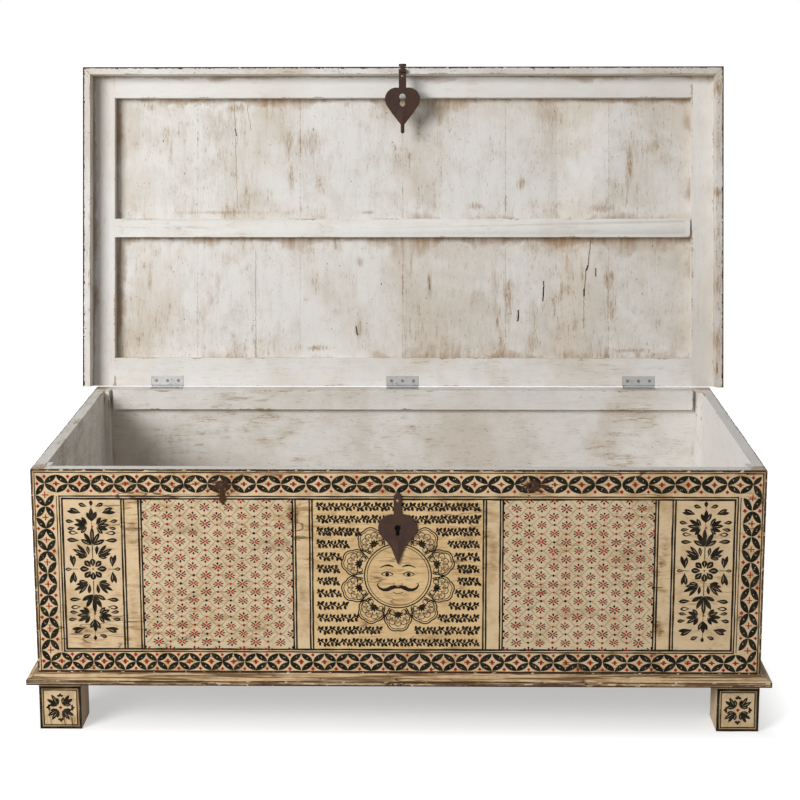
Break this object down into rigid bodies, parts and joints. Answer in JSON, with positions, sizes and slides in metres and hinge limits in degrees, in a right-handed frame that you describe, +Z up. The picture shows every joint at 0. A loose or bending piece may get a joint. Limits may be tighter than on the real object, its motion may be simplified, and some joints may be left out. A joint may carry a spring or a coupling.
{
  "type": "trunk coffee table",
  "caption": "Painted wooden trunk used as a coffee table, on block feet with a moulded plinth; the framed lid swings on butt hinges and carries a heart-shaped iron hasp.",
  "frame": {"origin": "on the floor, under the middle of the whole table with its lid open; the trunk's own middle is 63 mm in front of it", "axes": "+X along the trunk to its right, +Y to its back, +Z up; the lid stands open at rest"},
  "size_m": [1.244, 0.76, 1.0756],
  "materials": {
    "painted_wood": "worn cream paint with dark and red ornament",
    "whitewashed_wood": "worn whitewash over brown wood",
    "bare_wood": "plain",
    "iron": "forged, dark brown",
    "steel": "zinc plated",
    "copper": "dull copper"
  },
  "bodies": {
    "trunk": {"back_panel": "painted_wood", "back_top_rail": "whitewashed_wood", "body_leaf_screws": "steel", "bottom_board_back": "whitewashed_wood", "bottom_board_front": "whitewashed_wood", "bottom_board_middle": "whitewashed_wood", "bottom_nails": "iron", "corner_post_back_left": "whitewashed_wood", "corner_post_back_right": "whitewashed_wood", "corner_post_front_left": "whitewashed_wood", "corner_post_front_right": "whitewashed_wood", "foot_back_left": "painted_wood", "foot_back_right": "painted_wood", "foot_dowels": "bare_wood", "foot_front_left": "painted_wood", "foot_front_right": "painted_wood", "front_panel": "painted_wood", "hinge_left_body_leaf": "steel", "hinge_left_pin": "steel", "hinge_middle_body_leaf": "steel", "hinge_middle_pin": "steel", "hinge_right_body_leaf": "steel", "hinge_right_pin": "steel", "left_panel": "painted_wood", "lock_plate": "iron", "lock_plate_rivet": "steel", "old_stud_left": "iron", "old_stud_right": "iron", "plinth_back": "painted_wood", "plinth_front": "painted_wood", "plinth_left": "painted_wood", "plinth_right": "painted_wood", "post_nails": "iron", "right_panel": "painted_wood"},
    "lid": {"batten_nails": "iron", "hasp_pin": "iron", "hasp_staple": "iron", "hasp_staple_stud": "iron", "hinge_left_lid_leaf": "steel", "hinge_middle_lid_leaf": "steel", "hinge_right_lid_leaf": "steel", "lid_batten": "whitewashed_wood", "lid_board_1": "painted_wood", "lid_board_2": "painted_wood", "lid_board_3": "painted_wood", "lid_board_4": "painted_wood", "lid_board_5": "painted_wood", "lid_board_6": "painted_wood", "lid_front_rail": "whitewashed_wood", "lid_leaf_screws": "steel", "lid_left_stile": "whitewashed_wood", "lid_lip_front": "painted_wood", "lid_lip_left": "painted_wood", "lid_lip_right": "painted_wood", "lid_nails": "iron", "lid_rear_rail": "whitewashed_wood", "lid_right_stile": "whitewashed_wood", "lip_nails": "iron"},
    "hasp": {"hasp": "iron", "hasp_rivet": "copper"}
  },
  "joints": [
    {"name": "lid_hinge", "type": "hinge", "parent": "trunk", "child": "lid", "pos_m": [0, 0.23804, 0.45025], "axis": [1, 0, 0], "range_deg": [0, 100]},
    {"name": "hasp_hang", "type": "hinge", "parent": "lid", "child": "hasp", "pos_m": [0, 0.30355, 1.06217], "axis": [-1, 0, 0], "range_deg": [0, 100]}
  ],
  "couplings": [
    {"joint": "hasp_hang", "follows": "lid_hinge", "ratio": 1}
  ]
}
